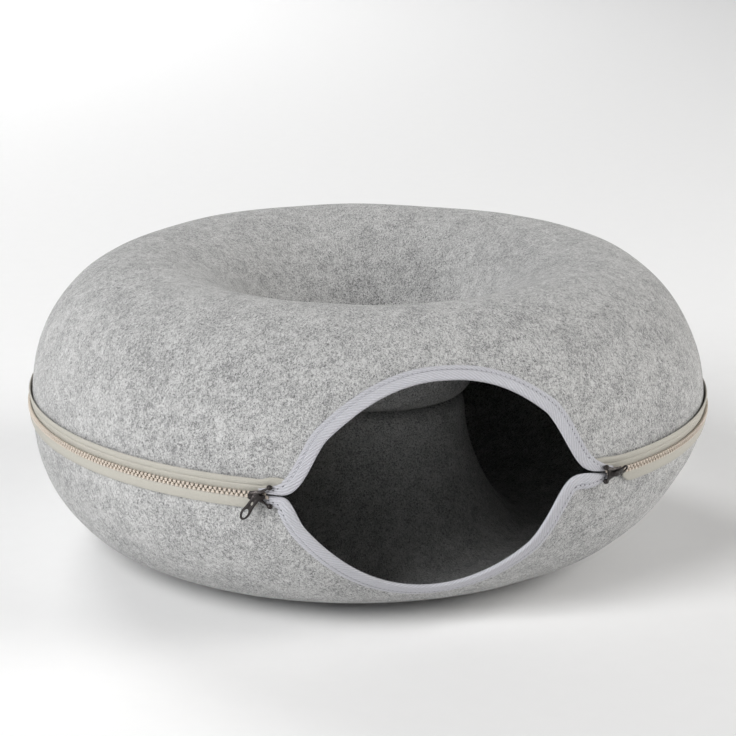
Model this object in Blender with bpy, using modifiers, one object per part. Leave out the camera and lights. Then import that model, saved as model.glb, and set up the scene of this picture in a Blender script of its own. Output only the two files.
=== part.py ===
"""Felt cat cave: a round tunnel of two moulded felt halves, zipped together round the rim.

The base half is a trough with a hollow cone in its middle. The top half is a domed ring whose
middle dips into a basin, and the basin's floor rests on the cone. A lens-shaped doorway is cut
from both rims and bound with bias tape. A zip joins the rims round the rest of the cave and ends
in a slider at each corner of the doorway. Metres, +Z up; the doorway faces -Y.
"""

import math

import bmesh
import bpy
from mathutils import Euler, Matrix, Vector

# Driving sizes
FELT_RADIUS = 0.2475
RIM_HEIGHT = 0.1055
TOP_HEIGHT = 0.2104
FELT_THICKNESS = 0.004
RIM_HALF_GAP = 0.0020
AXIS_Y = -0.0080  # the ring's axis, set so that the origin is the middle of the footprint

# Top half, on its upper skin
CREST_RADIUS = 0.1616
BASIN_WALL_RADIUS = 0.074
BASIN_FLOOR_HEIGHT = 0.1125
BASIN_FILLET = 0.012

# Base half, on its underside
FOOT_OUTER_RADIUS = 0.138
FOOT_INNER_RADIUS = 0.120
CONE_RADIUS = 0.067
CONE_HEIGHT = 0.104
CONE_FILLET = 0.010

# Hand-made unevenness: the base bulges at one side and tucks in at the other, and the rim tilts with it
BULGE_ANGLE = math.radians(-101.7)
BULGE_POWER = 0.30
RIM_TILT = 0.0020

# Doorway: how far each rim is cut back at its middle, where that middle is, how far the cut runs to
# each side of it, and the share of each side over which it eases into the rim. Angles in degrees.
DOOR_CUTS = {
    "top": {"depth": 43.5, "middle": 0.9, "reach": (26.1, 25.0), "ease": (0.27, 0.33), "fall": (2.1, 2.4)},
    "base": {"depth": 43.3, "middle": 0.0, "reach": (25.2, 22.6), "ease": (0.14, 0.33), "fall": (2.0, 2.0)},
}
NECK_RISE = 0.0045
NECK_ANGLE = math.radians(23.0)
NECK_SPREAD = math.radians(4.5)

# Bias binding on the doorway
BINDING_WIDTH = 0.0088
BINDING_THICKNESS = 0.0008
BINDING_GAP = 0.0007
BINDING_INNER_GAP = 0.0014

# Zip
TAPE_THICKNESS = 0.0010
TAPE_TOP_WIDTH = 0.0075
TAPE_BASE_WIDTH = 0.0060
CHAIN_HALF_WIDTH = 0.0029
CHAIN_THICKNESS = 0.0021
PIECE_GAP = 0.0004

# Zip sliders and their pulls, and how far short of a slider's middle the binding and the zip end
SLIDER_LEFT_ANGLE = math.radians(-27.4)
SLIDER_RIGHT_ANGLE = math.radians(28.4)
BINDING_SHORT_OF_SLIDER = math.radians(1.1)
ZIP_SHORT_OF_SLIDER = math.radians(0.7)
SLIDER_LENGTH = 0.0140
SLIDER_WIDTH = 0.0085
SLIDER_THICKNESS = 0.0014
ARCH_LENGTH = 0.0080
ARCH_CLEARANCE = 0.0020
ARCH_WIRE_RADIUS = 0.0006
PULL_LENGTH = 0.0220
PULL_WIDTH = 0.0058
PULL_THICKNESS = 0.0010
PULL_LEFT_TURN = math.radians(68.0)  # from straight along the zip to hanging down
PULL_RIGHT_TURN = math.radians(-8.0)

DOOR_STEPS = 20
ROUND_STEPS = 36
SECTION_STEPS = {"outer": 5, "inner": 5, "fillet": 2}


def material(name, colour, roughness, metallic=0.0):
    made = bpy.data.materials.new(name)
    made.use_nodes = True
    shader = made.node_tree.nodes["Principled BSDF"]
    shader.inputs["Base Color"].default_value = (*colour, 1.0)
    shader.inputs["Roughness"].default_value = roughness
    shader.inputs["Metallic"].default_value = metallic
    return made


def around(radius, angle, height):
    """The point at a radius from the axis, at an angle from the doorway's middle towards +X."""
    return Vector((radius * math.sin(angle), -radius * math.cos(angle), height))


def oval(centre, half, power, turn):
    """A point on a quarter of a superellipse; turn runs from 0, level with the centre, to a right angle."""
    across, up = max(0.0, math.cos(turn)), max(0.0, math.sin(turn))
    reach = (across**power + up**power) ** (-1 / power)
    return centre[0] + half[0] * reach * across, centre[1] + half[1] * reach * up


def rim_height(half_name, angle):
    """Height of a half's rim, a little off the middle of the zip, raised where the doorway's neck lifts it."""
    gap = RIM_HALF_GAP if half_name == "top" else -RIM_HALF_GAP
    neck = NECK_RISE * math.exp(-(((angle - NECK_ANGLE) / NECK_SPREAD) ** 2))
    return RIM_HEIGHT + RIM_TILT * math.cos(angle - BULGE_ANGLE) + neck + gap


def section_power(half_name, angle):
    """How square the outer quarter's curve is: 2 is an ellipse."""
    if half_name == "top":
        return 2.05
    return 2.05 + BULGE_POWER * math.cos(angle - BULGE_ANGLE)


def outer_section(half_name, angle, turn):
    """(radius, height) on the outer quarter of a half's skin, turn radians from the rim."""
    rim = rim_height(half_name, angle)
    power = section_power(half_name, angle)
    if half_name == "top":
        return oval((CREST_RADIUS, rim), (FELT_RADIUS - CREST_RADIUS, TOP_HEIGHT - rim), power, turn)
    return oval((FOOT_OUTER_RADIUS, rim), (FELT_RADIUS - FOOT_OUTER_RADIUS, -rim), power, turn)


def inner_section(half_name):
    """(radius, height) down the basin's wall, or up the cone's, as far as the flat disc in the middle."""
    quarter = math.pi / 2
    steps = SECTION_STEPS["inner"]
    turns = [quarter * (1 - i / steps) for i in range(1, steps + 1)]
    corner_turns = [quarter * i / SECTION_STEPS["fillet"] for i in range(1, SECTION_STEPS["fillet"] + 1)]
    if half_name == "top":
        foot = BASIN_FLOOR_HEIGHT + BASIN_FILLET
        wall = [
            oval((CREST_RADIUS, foot), (BASIN_WALL_RADIUS - CREST_RADIUS, TOP_HEIGHT - foot), 2.0, turn)
            for turn in turns
        ]
        centre, half, power = (BASIN_WALL_RADIUS - BASIN_FILLET, foot), (BASIN_FILLET, -BASIN_FILLET), 2.0
    else:
        foot = CONE_HEIGHT - CONE_FILLET
        wall = [(FOOT_INNER_RADIUS, 0.0)] + [
            oval((FOOT_INNER_RADIUS, foot), (CONE_RADIUS - FOOT_INNER_RADIUS, -foot), 1.6, turn)
            for turn in turns
        ]
        centre, half, power = (CONE_RADIUS - CONE_FILLET, foot), (CONE_FILLET, CONE_FILLET), 2.0
    return wall + [oval(centre, half, power, turn) for turn in corner_turns]


def door_cut(half_name, angle):
    """How far a half's rim is cut back at an angle round the axis, in radians along its outer quarter."""
    cut = DOOR_CUTS[half_name]
    side = 1 if math.degrees(angle) > cut["middle"] else 0
    share = abs(math.degrees(angle) - cut["middle"]) / cut["reach"][side]
    if share >= 1:
        return 0.0
    eased = min(1.0, (1 - share) / cut["ease"][side])
    return math.radians(cut["depth"]) * (1 - share ** cut["fall"][side]) * eased**2 * (3 - 2 * eased)


def column_angles():
    """Angles of the shells' sections: close together across the doorway, wider apart round the rest."""
    start = SLIDER_LEFT_ANGLE + BINDING_SHORT_OF_SLIDER
    end = SLIDER_RIGHT_ANGLE - BINDING_SHORT_OF_SLIDER
    across = [start + (end - start) * i / DOOR_STEPS for i in range(DOOR_STEPS + 1)]
    first = SLIDER_RIGHT_ANGLE - ZIP_SHORT_OF_SLIDER
    last = 2 * math.pi + SLIDER_LEFT_ANGLE + ZIP_SHORT_OF_SLIDER
    return across + [first + (last - first) * i / ROUND_STEPS for i in range(ROUND_STEPS + 1)]


def skin_column(half_name, angle):
    """The points of one section of a half's skin, from its rim to the edge of the flat disc."""
    cut = door_cut(half_name, angle)
    bound = (BINDING_WIDTH + PIECE_GAP) / skin_frame(half_name, angle, cut)[3]
    first, steps = cut + 2 * bound, SECTION_STEPS["outer"]
    turns = [cut, cut + bound] + [first + (math.pi / 2 - first) * i / steps for i in range(steps + 1)]
    outer = [outer_section(half_name, angle, turn) for turn in turns]
    return [around(radius, angle, height) for radius, height in outer + inner_section(half_name)]


def add_object(name, bm, finish, parts, cave):
    """Puts a mesh into the parts collection, carried by the cave's empty."""
    bmesh.ops.recalc_face_normals(bm, faces=bm.faces)
    mesh = bpy.data.meshes.new(name)
    bm.to_mesh(mesh)
    bm.free()
    mesh.shade_smooth()
    mesh.set_sharp_from_angle(angle=math.radians(50))
    mesh.materials.append(finish)
    made = bpy.data.objects.new(name, mesh)
    parts.objects.link(made)
    made.parent = cave
    return made


def felt_half(name, half_name, finish, parts, cave):
    """One moulded half: a loft of its sections round the axis, closed by a disc and given its thickness."""
    bm = bmesh.new()
    columns = [[bm.verts.new(p) for p in skin_column(half_name, angle)] for angle in column_angles()]
    for left, right in zip(columns, columns[1:] + columns[:1]):
        for i in range(len(left) - 1):
            bm.faces.new((left[i], right[i], right[i + 1], left[i + 1]))
    bm.faces.new([column[-1] for column in columns])
    made = add_object(name, bm, finish, parts, cave)
    disc_faces_up = made.data.polygons[-1].normal.z > 0
    if disc_faces_up != (half_name == "top"):
        made.data.flip_normals()
    wall = made.modifiers.new("felt thickness", "SOLIDIFY")
    wall.thickness = FELT_THICKNESS
    wall.offset = -1
    wall.use_even_offset = True
    return made


def skin_frame(half_name, angle, turn):
    """Point, outward normal, and how fast the point moves with angle and with turn, on an outer quarter."""
    small = 1e-4
    radius, height = outer_section(half_name, angle, turn)
    turn = max(turn, small * 2)
    ahead = outer_section(half_name, angle, turn + small)
    behind = outer_section(half_name, angle, turn - small)
    slope = Vector((ahead[0] - behind[0], ahead[1] - behind[1])) / (2 * small)
    outwards = Vector((slope.y, -slope.x)).normalized()
    if outwards.x < 0:
        outwards = -outwards
    normal = around(outwards.x, angle, outwards.y)
    return around(radius, angle, height), normal, radius, slope.length


def offset_from_rim(half_name, angle, cut, into, out):
    """A point "into" metres into the felt from the doorway's edge, and "out" metres off its skin."""
    small = 1e-3
    _, _, per_angle, per_turn = skin_frame(half_name, angle, cut)
    rise = (door_cut(half_name, angle + small) - door_cut(half_name, angle - small)) / (2 * small)
    along = Vector((per_angle, rise * per_turn)).normalized()
    across = Vector((-along.y, along.x))
    moved_angle = angle + across.x * into / per_angle
    moved_turn = cut + across.y * into / per_turn
    if moved_turn < 0:
        point, normal, _, _ = skin_frame(half_name, moved_angle, 0.0)
        down = -1 if half_name == "top" else 1
        return point + normal * out + Vector((0, 0, down * -moved_turn * per_turn))
    point, normal, _, _ = skin_frame(half_name, moved_angle, moved_turn)
    return point + normal * out


def strip(name, rings, finish, parts, cave):
    """A solid strip lofted through closed rings of points, with its ends capped."""
    bm = bmesh.new()
    made = [[bm.verts.new(p) for p in ring] for ring in rings]
    for near, far in zip(made, made[1:]):
        for i in range(len(near)):
            j = (i + 1) % len(near)
            bm.faces.new((near[i], near[j], far[j], far[i]))
    bm.faces.new(made[0])
    bm.faces.new(made[-1])
    return add_object(name, bm, finish, parts, cave)


def door_binding(name, half_name, finish, parts, cave):
    """Bias tape folded over the doorway's edge: a U lofted along it, a piece gap clear of the felt."""
    gap, cloth = BINDING_GAP, BINDING_THICKNESS
    under = -FELT_THICKNESS - BINDING_INNER_GAP
    section = (
        (BINDING_WIDTH, gap),
        (BINDING_WIDTH, gap + cloth),
        (-gap - cloth, gap + cloth),
        (-gap - cloth, under - cloth),
        (BINDING_WIDTH, under - cloth),
        (BINDING_WIDTH, under),
        (-gap, under),
        (-gap, gap),
    )
    rings = []
    for angle in column_angles()[: DOOR_STEPS + 1]:
        cut = door_cut(half_name, angle)
        rings.append([offset_from_rim(half_name, angle, cut, into, out) for into, out in section])
    return strip(name, rings, finish, parts, cave)


def zip_tape(name, half_name, width, finish, parts, cave):
    """The cloth tape beside the chain, lying on the outside of a half's rim."""
    near = CHAIN_HALF_WIDTH + PIECE_GAP
    far = near + width
    low, high = PIECE_GAP, PIECE_GAP + TAPE_THICKNESS
    rings = []
    for angle in column_angles()[DOOR_STEPS + 1 :]:
        ring = []
        for reach, out in ((near, low), (near, high), (far, high), (far, low)):
            rim = rim_height(half_name, angle)
            quarter_height = TOP_HEIGHT - rim if half_name == "top" else rim
            share, power = (reach - RIM_HALF_GAP) / quarter_height, section_power(half_name, angle)
            turn = math.atan2(share, (1 - share**power) ** (1 / power))
            point, normal, _, _ = skin_frame(half_name, angle, turn)
            ring.append(point + normal * out)
        rings.append(ring)
    return strip(name, rings, finish, parts, cave)


def zip_chain(name, finish, parts, cave):
    """The closed row of teeth, as one bar between the two tapes."""
    low = FELT_RADIUS + PIECE_GAP
    high = low + CHAIN_THICKNESS
    half = CHAIN_HALF_WIDTH
    corners = ((low, -half), (high, -half), (high, half), (low, half))
    rings = []
    for angle in column_angles()[DOOR_STEPS + 1 :]:
        middle = rim_height("top", angle) - RIM_HALF_GAP
        rings.append([around(radius, angle, middle + z) for radius, z in corners])
    return strip(name, rings, finish, parts, cave)


def zip_place(angle):
    """On the chain's face: x along the zip away from the doorway, y up and z out for +X, mirrored for -X."""
    face = FELT_RADIUS + PIECE_GAP + CHAIN_THICKNESS + PIECE_GAP
    side = 1 if angle > 0 else -1
    out = around(1, angle, 0)
    along = around(1, angle + side * math.pi / 2, 0)
    axes = Matrix((along, out.cross(along), out)).transposed().to_4x4()
    return Matrix.Translation(around(face, angle, rim_height("top", angle) - RIM_HALF_GAP)) @ axes


def boolean(target, tool, operation):
    cut = target.modifiers.new(operation.lower(), "BOOLEAN")
    cut.operation = operation
    cut.object = tool


def arch_mesh(name):
    """The wire arch on a slider, from a poly curve with its caps welded."""
    curve = bpy.data.curves.new(name, "CURVE")
    curve.dimensions = "3D"
    curve.bevel_depth = ARCH_WIRE_RADIUS
    curve.bevel_resolution = 2
    curve.use_fill_caps = True
    line = curve.splines.new("POLY")
    half = ARCH_LENGTH / 2
    top = SLIDER_THICKNESS + ARCH_CLEARANCE + ARCH_WIRE_RADIUS
    bend = 0.0012
    foot = SLIDER_THICKNESS / 2
    left = ((-half, foot), (-half, top - bend), (-half + bend, top))
    points = left + tuple((-x, z) for x, z in reversed(left))
    line.points.add(len(points) - 1)
    for spot, (x, z) in zip(line.points, points):
        spot.co = (x, 0, z, 1)
    wire = bpy.data.objects.new(name, curve)
    bpy.context.scene.collection.objects.link(wire)
    bpy.context.view_layer.update()
    mesh = bpy.data.meshes.new_from_object(wire.evaluated_get(bpy.context.evaluated_depsgraph_get()))
    bpy.data.objects.remove(wire)
    bm = bmesh.new()
    bm.from_mesh(mesh)
    bmesh.ops.remove_doubles(bm, verts=bm.verts, dist=1e-5)
    bmesh.ops.recalc_face_normals(bm, faces=bm.faces)
    bm.to_mesh(mesh)
    bm.free()
    return mesh


def slider(name, angle, finish, parts, cutters, cave):
    """A slider's outer plate, narrower towards the closed chain, with the arch that carries its pull."""
    bpy.ops.mesh.primitive_cube_add(size=1)
    plate = bpy.context.object
    plate.name = name
    plate.data.transform(Matrix.Diagonal((SLIDER_LENGTH, SLIDER_WIDTH, SLIDER_THICKNESS, 1)))
    plate.data.transform(Matrix.Translation((0, 0, SLIDER_THICKNESS / 2)))
    for vertex in plate.data.vertices:
        if vertex.co.x > 0:
            vertex.co.y *= 0.72
    plate.data.materials.append(finish)
    rounded = plate.modifiers.new("rounded", "BEVEL")
    rounded.width = 0.0004
    rounded.segments = 2
    arch = bpy.data.objects.new(name + "_arch", arch_mesh(name + "_arch"))
    for each, home in ((plate, parts), (arch, cutters)):
        for other in list(each.users_collection):
            other.objects.unlink(each)
        home.objects.link(each)
        each.parent = cave
        each.matrix_basis = zip_place(angle)
    arch.hide_render = True
    arch.display_type = "WIRE"
    boolean(plate, arch, "UNION")
    return plate


def pull_outline(length, width, hole_length, hole_width):
    """Rings of points for a pull: its outline, the small hole at its head and the long one at its tail."""

    def rounded_slot(centre, slot_length, slot_width, steps=6):
        radius = slot_width / 2
        straight = slot_length / 2 - radius
        points = []
        for end in (1, -1):
            for i in range(steps + 1):
                turn = math.pi * (i / steps - end / 2)
                points.append((centre + end * straight + radius * math.cos(turn), radius * math.sin(turn)))
        return points

    head = 0.0032
    return (
        rounded_slot(length / 2 - head, length, width),
        rounded_slot(0.0, 0.0038, 0.0030),
        rounded_slot(length - head - hole_length / 2 - 0.0014, hole_length, hole_width),
    )


def pull(name, angle, turn, finish, parts, cave):
    """A flat pull under its slider's arch, turned about the arch's far leg."""
    curve = bpy.data.curves.new(name, "CURVE")
    curve.dimensions = "2D"
    curve.fill_mode = "BOTH"
    curve.extrude = PULL_THICKNESS / 2
    for ring in pull_outline(PULL_LENGTH, PULL_WIDTH, 0.0095, 0.0032):
        line = curve.splines.new("POLY")
        line.points.add(len(ring) - 1)
        line.use_cyclic_u = True
        for spot, (x, y) in zip(line.points, ring):
            spot.co = (x, y, 0, 1)
    curve.materials.append(finish)
    made = bpy.data.objects.new(name, curve)
    parts.objects.link(made)
    made.parent = cave
    down = -turn if angle > 0 else turn
    rest = SLIDER_THICKNESS + PULL_THICKNESS / 2 + PIECE_GAP
    leg = Matrix.Translation((ARCH_LENGTH / 2, 0, rest))
    made.matrix_basis = zip_place(angle) @ leg @ Euler((0, 0, down)).to_matrix().to_4x4()
    return made


def main():
    for old in list(bpy.data.objects):
        bpy.data.objects.remove(old)
    parts = bpy.data.collections.new("felt cat cave")
    cutters = bpy.data.collections.new("cutters")
    for each in (parts, cutters):
        bpy.context.scene.collection.children.link(each)
    cave = bpy.data.objects.new("cave_axis", None)
    cave.location = (0, AXIS_Y, 0)
    parts.objects.link(cave)

    felt = material("grey felt", (0.50, 0.50, 0.50), 0.95)
    bias = material("pale binding", (0.53, 0.54, 0.57), 0.8)
    tape = material("beige zip tape", (0.52, 0.49, 0.44), 0.8)
    teeth = material("beige zip teeth", (0.58, 0.52, 0.45), 0.45)
    metal = material("dark zip metal", (0.06, 0.05, 0.05), 0.35, 1.0)

    felt_half("felt_top", "top", felt, parts, cave)
    felt_half("felt_base", "base", felt, parts, cave)
    door_binding("door_binding_top", "top", bias, parts, cave)
    door_binding("door_binding_base", "base", bias, parts, cave)
    zip_tape("zip_tape_top", "top", TAPE_TOP_WIDTH, tape, parts, cave)
    zip_tape("zip_tape_base", "base", TAPE_BASE_WIDTH, tape, parts, cave)
    zip_chain("zip_chain", teeth, parts, cave)
    slider("slider_left", SLIDER_LEFT_ANGLE, metal, parts, cutters, cave)
    slider("slider_right", SLIDER_RIGHT_ANGLE, metal, parts, cutters, cave)
    pull("pull_left", SLIDER_LEFT_ANGLE, PULL_LEFT_TURN, metal, parts, cave)
    pull("pull_right", SLIDER_RIGHT_ANGLE, PULL_RIGHT_TURN, metal, parts, cave)


main()
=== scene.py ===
import math

import bpy
from bpy.props import FloatProperty, FloatVectorProperty, PointerProperty
from bpy.types import Operator, Panel, PropertyGroup
from mathutils import Matrix, Vector, noise


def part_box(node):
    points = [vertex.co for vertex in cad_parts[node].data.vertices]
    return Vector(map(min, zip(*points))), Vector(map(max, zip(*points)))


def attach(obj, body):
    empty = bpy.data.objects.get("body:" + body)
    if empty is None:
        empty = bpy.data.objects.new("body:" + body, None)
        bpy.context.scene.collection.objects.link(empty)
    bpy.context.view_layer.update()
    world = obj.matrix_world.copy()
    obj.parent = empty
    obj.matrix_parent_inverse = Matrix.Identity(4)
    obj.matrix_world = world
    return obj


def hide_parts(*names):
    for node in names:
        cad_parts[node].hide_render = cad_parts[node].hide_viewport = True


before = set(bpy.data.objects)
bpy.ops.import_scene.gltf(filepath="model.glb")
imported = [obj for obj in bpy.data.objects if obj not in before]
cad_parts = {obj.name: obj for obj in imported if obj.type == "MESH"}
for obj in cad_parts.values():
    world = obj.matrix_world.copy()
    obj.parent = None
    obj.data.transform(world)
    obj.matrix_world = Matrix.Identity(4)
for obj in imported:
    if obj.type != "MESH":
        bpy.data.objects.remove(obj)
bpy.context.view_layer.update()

bl_info = {
    "name": "Felt cat cave",
    "version": (1, 0, 0),
    "blender": (4, 5, 0),
    "location": "3D View > Sidebar > Cat cave",
    "description": "Finishes a round felt cat cave: felt halves, bound doorway, zip, sliders and pulls",
    "category": "Object",
}

BODY = "root"

# The felt's form, in metres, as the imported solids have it
FELT_RADIUS = 0.2475
RIM_HEIGHT = 0.1055
RIM_HALF_GAP = 0.0020
TOP_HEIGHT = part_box("felt_top")[1][2]
AXIS_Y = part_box("felt_base")[1][1] - FELT_RADIUS
CREST_RADIUS = 0.1616
BASIN_WALL_RADIUS = 0.074
BASIN_FLOOR_HEIGHT = 0.1125
BASIN_FILLET = 0.012
FOOT_OUTER_RADIUS = 0.138
FOOT_INNER_RADIUS = 0.120
CONE_RADIUS = 0.067
CONE_HEIGHT = 0.104
CONE_FILLET = 0.010
BULGE_ANGLE = math.radians(-101.7)
BULGE_POWER = 0.30
SECTION_POWER = 2.05
BASIN_POWER = 2.0
CONE_POWER = 1.6
FILLET_POWER = 2.0
RIM_TILT = 0.0020

# The doorway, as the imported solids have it; angles round the axis, from its middle towards +X
DOOR_CUTS = {
    "top": {"depth": 43.5, "middle": 0.9, "reach": (26.1, 25.0), "ease": (0.27, 0.33), "fall": (2.1, 2.4)},
    "base": {"depth": 43.3, "middle": 0.0, "reach": (25.2, 22.6), "ease": (0.14, 0.33), "fall": (2.0, 2.0)},
}
NECK_RISE = 0.0045
NECK_ANGLE = math.radians(23.0)
NECK_SPREAD = math.radians(4.5)
SLIDER_ANGLES = {"left": math.radians(-27.4), "right": math.radians(28.4)}
BINDING_ENDS = (math.radians(-26.3), math.radians(27.3))
ZIP_ENDS = (math.radians(27.7), math.radians(333.3))
ZIP_FACE = FELT_RADIUS + 0.0029

# How finely the cloth is divided
DOOR_COLUMNS = 132
ROUND_COLUMNS = 200
OUTER_ROWS = 46
WALL_ROWS = 32
FILLET_ROWS = 6
DISC_ROWS = 12
LAY_RADIUS = 0.16
EDGE_PRESSED = 0.009
EDGE_THIN = 0.42


# Sizes and colours a user would change


class CaveFeltSettings(PropertyGroup):
    thickness: FloatProperty(
        name="Thickness", description="Thickness of the pressed felt", default=0.004, unit="LENGTH"
    )
    unevenness: FloatProperty(
        name="Unevenness", description="Height of the soft hand-made lumps",
        default=0.0016, unit="LENGTH",
    )
    light: FloatVectorProperty(
        name="Light fibres", description="Colour of the pale wool",
        default=(0.62, 0.62, 0.612), subtype="COLOR",
    )
    dark: FloatVectorProperty(
        name="Dark fibres", description="Colour of the dark wool",
        default=(0.145, 0.145, 0.147), subtype="COLOR",
    )
    # Inside colours: dark wool, darkened further to near black as painted shade inside the cave
    inside_light_shaded: FloatVectorProperty(
        name="Inside light fibres", description="Palest inside wool, darkened as painted shade",
        default=(0.0145, 0.0145, 0.0145), subtype="COLOR",
    )
    inside_dark_shaded: FloatVectorProperty(
        name="Inside dark fibres", description="Darkest inside wool, darkened as painted shade",
        default=(0.0015, 0.0015, 0.0015), subtype="COLOR",
    )


class CaveTrimSettings(PropertyGroup):
    binding_width: FloatProperty(
        name="Binding width", description="Width of the binding on the outside",
        default=0.0088, unit="LENGTH",
    )
    stitch_pitch: FloatProperty(
        name="Stitch pitch", description="From one stitch to the next",
        default=0.0034, unit="LENGTH",
    )
    binding_colour: FloatVectorProperty(
        name="Binding", description="Colour of the bias tape",
        default=(0.56, 0.56, 0.60), subtype="COLOR",
    )
    tape_colour: FloatVectorProperty(
        name="Zip tape", description="Colour of the zip's woven tapes",
        default=(0.47, 0.452, 0.402), subtype="COLOR",
    )
    teeth_colour: FloatVectorProperty(
        name="Zip teeth", description="Colour of the moulded teeth",
        default=(0.62, 0.54, 0.46), subtype="COLOR",
    )
    metal_colour: FloatVectorProperty(
        name="Zip metal", description="Colour of the sliders and pulls",
        default=(0.024, 0.020, 0.019), subtype="COLOR",
    )
    tooth_pitch: FloatProperty(
        name="Tooth pitch", description="From a tooth to the next one on the same tape",
        default=0.0034, unit="LENGTH",
    )


class CaveStageSettings(PropertyGroup):
    key_power: FloatProperty(
        name="Key light", description="Power of the key light", default=80.0, unit="POWER"
    )
    low_power: FloatProperty(
        name="Low light", description="Power of the low side light", default=30.0, unit="POWER"
    )
    fill_power: FloatProperty(
        name="Fill light", description="Power of the fill light", default=66.0, unit="POWER"
    )
    back_power: FloatProperty(
        name="Back light", description="Power behind the cave", default=106.0, unit="POWER"
    )
    sky: FloatProperty(name="Sky", description="Strength of the even light all round", default=0.055)
    lens: FloatProperty(name="Lens", description="Focal length in millimetres", default=115.5)


class CaveSettings(PropertyGroup):
    felt: PointerProperty(type=CaveFeltSettings)
    trim: PointerProperty(type=CaveTrimSettings)
    stage: PointerProperty(type=CaveStageSettings)


# The cave's form


def around(radius, angle, height):
    """The point at a radius from the ring's axis, at an angle from the doorway's middle towards +X."""
    return Vector((radius * math.sin(angle), AXIS_Y - radius * math.cos(angle), height))


def oval(centre, half, power, turn):
    """A point on a quarter of a superellipse; turn runs from 0, level with the centre, to a right angle."""
    across, up = max(0.0, math.cos(turn)), max(0.0, math.sin(turn))
    reach = (across**power + up**power) ** (-1 / power)
    return centre[0] + half[0] * reach * across, centre[1] + half[1] * reach * up


def smooth(share):
    """Eases from 0 to 1."""
    share = min(1.0, max(0.0, share))
    return share * share * (3 - 2 * share)


def turned_in(angle):
    """The same angle, from -180 to 180 degrees."""
    return (angle + math.pi) % (2 * math.pi) - math.pi


def rim_height(half_name, angle):
    """Height of a half's rim; with no name, the middle of the zip."""
    gap = {"top": RIM_HALF_GAP, "base": -RIM_HALF_GAP, "": 0.0}[half_name]
    neck = NECK_RISE * math.exp(-(((turned_in(angle) - NECK_ANGLE) / NECK_SPREAD) ** 2))
    return RIM_HEIGHT + RIM_TILT * math.cos(angle - BULGE_ANGLE) + neck + gap


def section_power(half_name, angle):
    if half_name == "top":
        return SECTION_POWER
    return SECTION_POWER + BULGE_POWER * math.cos(angle - BULGE_ANGLE)


def outer_section(half_name, angle, turn):
    """(radius, height) on the outer quarter of a half's skin, turn radians from the rim."""
    rim = rim_height(half_name, angle)
    power = section_power(half_name, angle)
    if half_name == "top":
        return oval((CREST_RADIUS, rim), (FELT_RADIUS - CREST_RADIUS, TOP_HEIGHT - rim), power, turn)
    return oval((FOOT_OUTER_RADIUS, rim), (FELT_RADIUS - FOOT_OUTER_RADIUS, -rim), power, turn)


def door_cut(half_name, angle):
    """How far a half's rim is cut back at an angle round the axis, in radians along its outer quarter."""
    cut = DOOR_CUTS[half_name]
    degrees = math.degrees(turned_in(angle))
    side = 1 if degrees > cut["middle"] else 0
    share = abs(degrees - cut["middle"]) / cut["reach"][side]
    if share >= 1:
        return 0.0
    eased = smooth((1 - share) / cut["ease"][side])
    return math.radians(cut["depth"]) * (1 - share ** cut["fall"][side]) * eased


def inner_rows(half_name):
    """(radius, height) down the basin's wall or up the cone's, across the fillet and in to the axis."""
    quarter = math.pi / 2
    turns = [quarter * (1 - i / WALL_ROWS) for i in range(1, WALL_ROWS + 1)]
    bends = [quarter * i / FILLET_ROWS for i in range(1, FILLET_ROWS + 1)]
    if half_name == "top":
        foot = BASIN_FLOOR_HEIGHT + BASIN_FILLET
        wall = (CREST_RADIUS, foot), (BASIN_WALL_RADIUS - CREST_RADIUS, TOP_HEIGHT - foot), BASIN_POWER
        bend = (BASIN_WALL_RADIUS - BASIN_FILLET, foot), (BASIN_FILLET, -BASIN_FILLET), FILLET_POWER
    else:
        foot = CONE_HEIGHT - CONE_FILLET
        wall = (FOOT_INNER_RADIUS, foot), (CONE_RADIUS - FOOT_INNER_RADIUS, -foot), CONE_POWER
        bend = (CONE_RADIUS - CONE_FILLET, foot), (CONE_FILLET, CONE_FILLET), FILLET_POWER
    rows = [oval(*wall, turn) for turn in turns] + [oval(*bend, turn) for turn in bends]
    last = rows[-1]
    return rows + [(last[0] * (1 - i / DISC_ROWS), last[1]) for i in range(1, DISC_ROWS + 1)]


def skin_frame(half_name, angle, turn):
    """Point, outward normal, and how fast the point moves with angle and with turn, on an outer quarter."""
    small = 1e-4
    radius, height = outer_section(half_name, angle, turn)
    turn = max(turn, small * 2)
    ahead = Vector(outer_section(half_name, angle, turn + small))
    slope = (ahead - Vector(outer_section(half_name, angle, turn - small))) / (2 * small)
    outwards = Vector((slope.y, -slope.x)).normalized()
    if outwards.x < 0:
        outwards = -outwards
    normal = around(outwards.x, angle, outwards.y) - around(0, angle, 0)
    return around(radius, angle, height), normal, radius, slope.length


def beside_door(half_name, angle, into, out):
    """A point "into" metres into the felt from the doorway's edge, and "out" metres off its skin."""
    small = 1e-3
    cut = door_cut(half_name, angle)
    _, _, per_angle, per_turn = skin_frame(half_name, angle, cut)
    rise = (door_cut(half_name, angle + small) - door_cut(half_name, angle - small)) / (2 * small)
    along = Vector((per_angle, rise * per_turn)).normalized()
    moved_angle = angle - along.y * into / per_angle
    moved_turn = cut + along.x * into / per_turn
    if moved_turn < 0:
        point, normal, _, _ = skin_frame(half_name, moved_angle, 0.0)
        down = -1 if half_name == "top" else 1
        return point + normal * out + Vector((0, 0, down * -moved_turn * per_turn))
    point, normal, _, _ = skin_frame(half_name, moved_angle, moved_turn)
    return point + normal * out


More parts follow.
